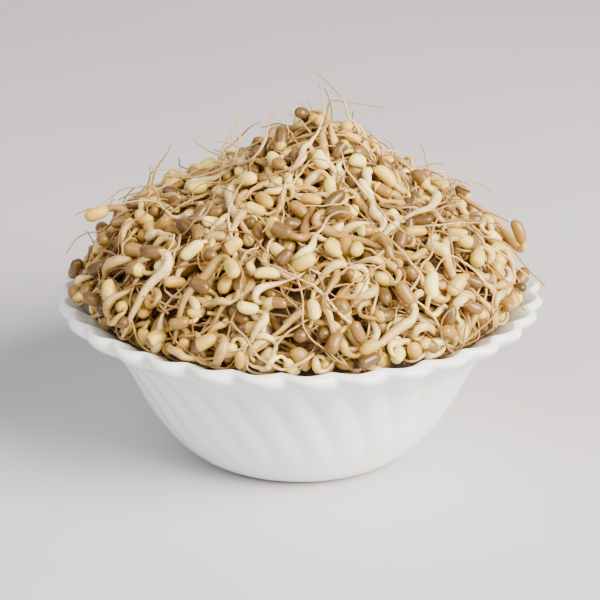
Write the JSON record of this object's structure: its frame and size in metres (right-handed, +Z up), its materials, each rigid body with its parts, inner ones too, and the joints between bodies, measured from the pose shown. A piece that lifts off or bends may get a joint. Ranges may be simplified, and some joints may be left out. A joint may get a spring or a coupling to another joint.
{
  "type": "bowl of moth bean sprouts",
  "caption": "Fluted white opal glass bowl with a scalloped rim, heaped high with moth bean sprouts: tan and cream beans with hooked white stems and thin roots.",
  "frame": {"origin": "centre of the bowl's flat foot, on the surface that it stands on", "axes": "+Z up along the bowl's axis, -Y towards the viewer of the picture, +X to the viewer's right"},
  "size_m": [0.12, 0.12, 0.084],
  "materials": {
    "bowl": "glossy white opal glass",
    "sprouts": null,
    "loose_sprouts": null
  },
  "bodies": {
    "root": {"bowl": "bowl", "sprout_heap": "sprouts", "loose_sprout_01": "loose_sprouts", "loose_sprout_02": "loose_sprouts", "loose_sprout_03": "loose_sprouts", "loose_sprout_04": "loose_sprouts", "loose_sprout_05": "loose_sprouts", "loose_sprout_06": "loose_sprouts", "loose_sprout_07": "loose_sprouts", "loose_sprout_08": "loose_sprouts", "loose_sprout_09": "loose_sprouts", "loose_sprout_10": "loose_sprouts", "loose_sprout_11": "loose_sprouts", "loose_sprout_12": "loose_sprouts", "loose_sprout_13": "loose_sprouts", "loose_sprout_14": "loose_sprouts"}
  },
  "joints": []
}
